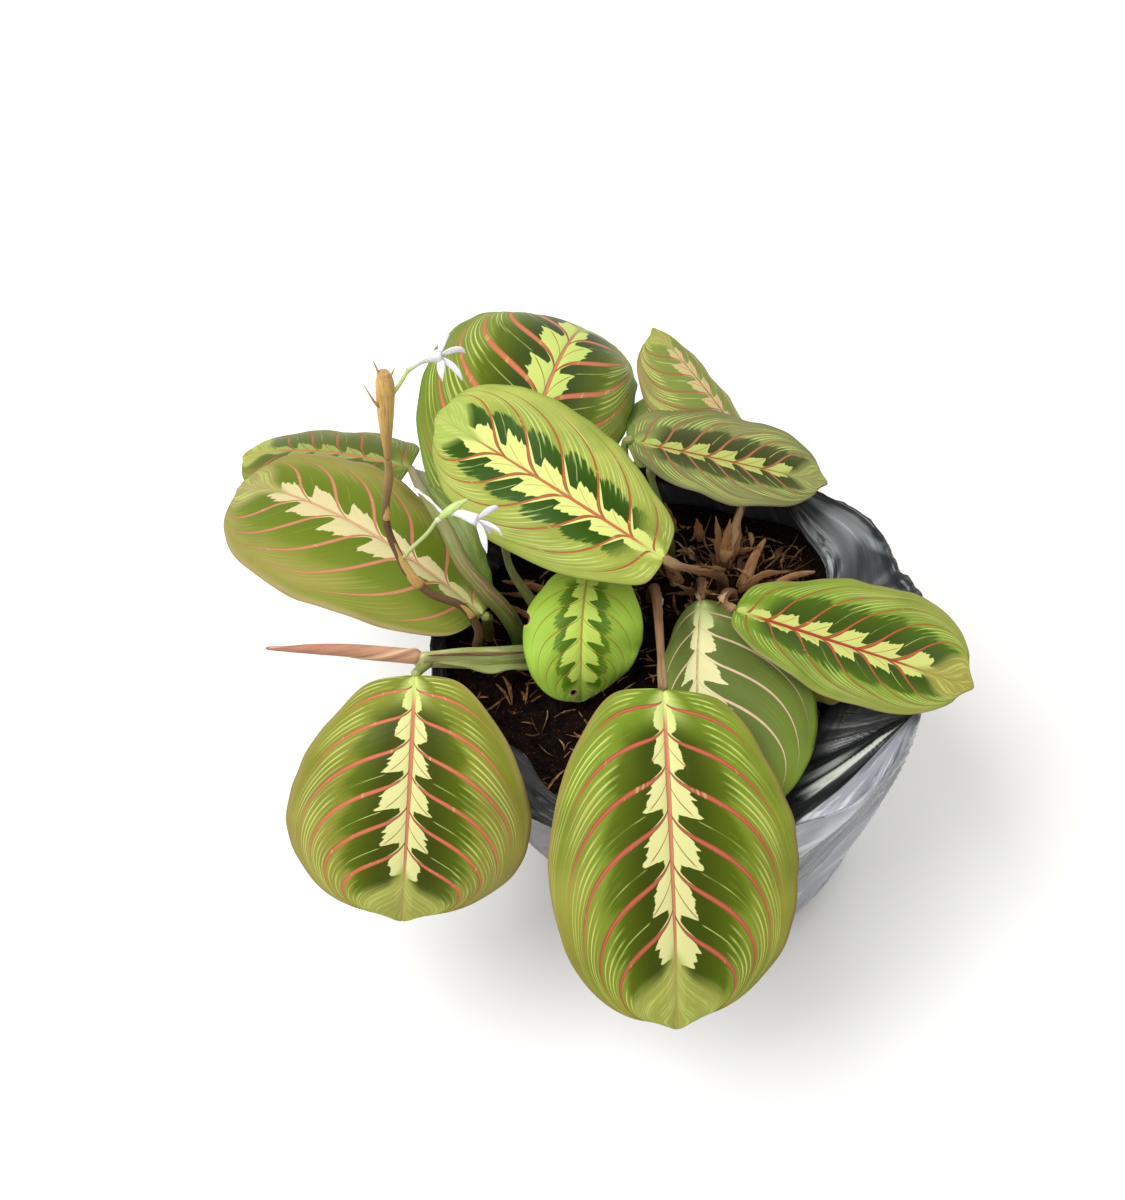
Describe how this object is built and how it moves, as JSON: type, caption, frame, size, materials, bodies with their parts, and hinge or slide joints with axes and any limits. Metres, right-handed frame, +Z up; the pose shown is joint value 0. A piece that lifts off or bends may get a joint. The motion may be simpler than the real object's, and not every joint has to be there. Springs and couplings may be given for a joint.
{
  "type": "potted prayer plant",
  "caption": "Low prayer plant with broad patterned oval leaves, small white flowers and a rolled new leaf, growing in a crumpled film grow bag of soil.",
  "frame": {"origin": "middle of the bag's flat base, on the surface it stands on", "axes": "+Z up; -Y towards the front, the side with the largest leaf; +X to the right seen from the front"},
  "size_m": [0.2536, 0.2666, 0.2272],
  "materials": {
    "bag_film": "gloss",
    "potting_mix": "matte",
    "patterned_leaf": "satin",
    "bright_leaf": "satin",
    "dark_leaf": "satin",
    "dull_leaf": "satin",
    "old_leaf": "matte",
    "leaf_stalk": "satin",
    "green_sheath": "satin",
    "rolled_leaf": "satin",
    "flower_stalk": "matte",
    "flower_bract": "matte",
    "petal": "matte",
    "dry_leaf_base": "matte"
  },
  "bodies": {
    "root": {"bag": "bag_film", "soil": "potting_mix", "leaf_front": "patterned_leaf", "leaf_front_left": "patterned_leaf", "leaf_middle": "bright_leaf", "leaf_left": "patterned_leaf", "leaf_right": "patterned_leaf", "leaf_back_right": "dull_leaf", "leaf_dark": "dark_leaf", "leaf_small": "bright_leaf", "leaf_back": "patterned_leaf", "leaf_curled": "dull_leaf", "leaf_back_left": "patterned_leaf", "leaf_pale": "bright_leaf", "leaf_old": "old_leaf", "stalk_front": "leaf_stalk", "stalk_middle": "leaf_stalk", "stalk_left": "leaf_stalk", "stalk_right": "leaf_stalk", "stalk_back_right": "leaf_stalk", "stalk_dark": "leaf_stalk", "stalk_small": "leaf_stalk", "stalk_back": "leaf_stalk", "stalk_curled": "leaf_stalk", "stalk_pale": "leaf_stalk", "stalk_old": "leaf_stalk", "stalk_back_left": "green_sheath", "sheath_front_left": "green_sheath", "leaf_rolled": "rolled_leaf", "flower_stalk": "flower_stalk", "flower_bract": "flower_bract", "flower_upper": "petal", "flower_lower": "petal", "dry_base_1": "dry_leaf_base", "dry_base_2": "dry_leaf_base", "dry_base_3": "dry_leaf_base", "dry_base_4": "dry_leaf_base"}
  },
  "joints": []
}
